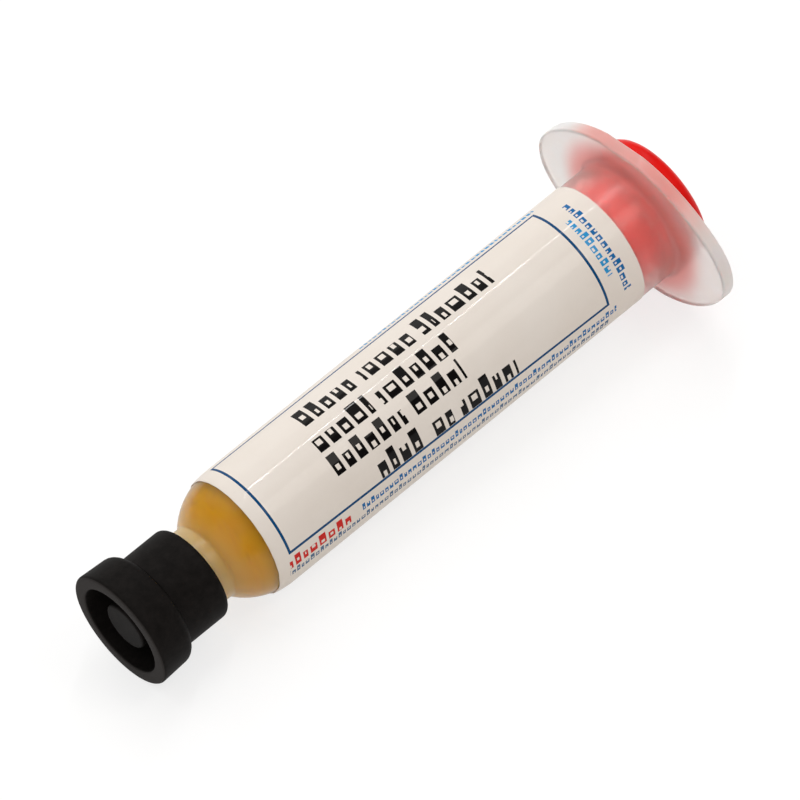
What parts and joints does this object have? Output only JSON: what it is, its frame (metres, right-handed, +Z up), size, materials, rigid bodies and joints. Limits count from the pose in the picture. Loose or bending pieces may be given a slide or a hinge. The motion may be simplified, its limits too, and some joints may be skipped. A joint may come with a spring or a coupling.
{
  "type": "solder flux paste syringe",
  "caption": "Pre-filled dispensing syringe with a translucent barrel, white wrap label, amber flux, black tip cap and red end plug.",
  "frame": {"origin": "middle of the bounding box, on the surface that the syringe lies on", "axes": "+X from the tip cap to the rear plug along the syringe, +Z up, +Y across, to the far side of the picture's view"},
  "size_m": [0.1008, 0.037, 0.0267],
  "materials": {
    "barrel": "translucent natural polypropylene, moulded smooth",
    "label": "satin white label film with plain printed fields",
    "flux": "amber flux gel",
    "piston": "natural polyethylene, satin",
    "end_cap": "bright red polyethylene, smooth",
    "tip_cap": "matte black soft moulding"
  },
  "bodies": {
    "barrel": {"barrel": "barrel", "label": "label", "flux_paste": "flux"},
    "piston": {"piston": "piston"},
    "end_cap": {"end_cap": "end_cap"},
    "tip_cap": {"tip_cap": "tip_cap"}
  },
  "joints": [
    {"name": "piston_slide", "type": "slide", "parent": "barrel", "child": "piston", "axis": [-0.9989, 0, -0.0463], "range_m": [0, 0.0497], "deforming": ["flux_paste"]},
    {"name": "end_cap_pull", "type": "slide", "parent": "barrel", "child": "end_cap", "axis": [0.9989, 0, 0.0463], "range_m": [0, 0.014]},
    {"name": "tip_cap_pull", "type": "slide", "parent": "barrel", "child": "tip_cap", "axis": [-0.9989, 0, -0.0463], "range_m": [0, 0.014]}
  ]
}
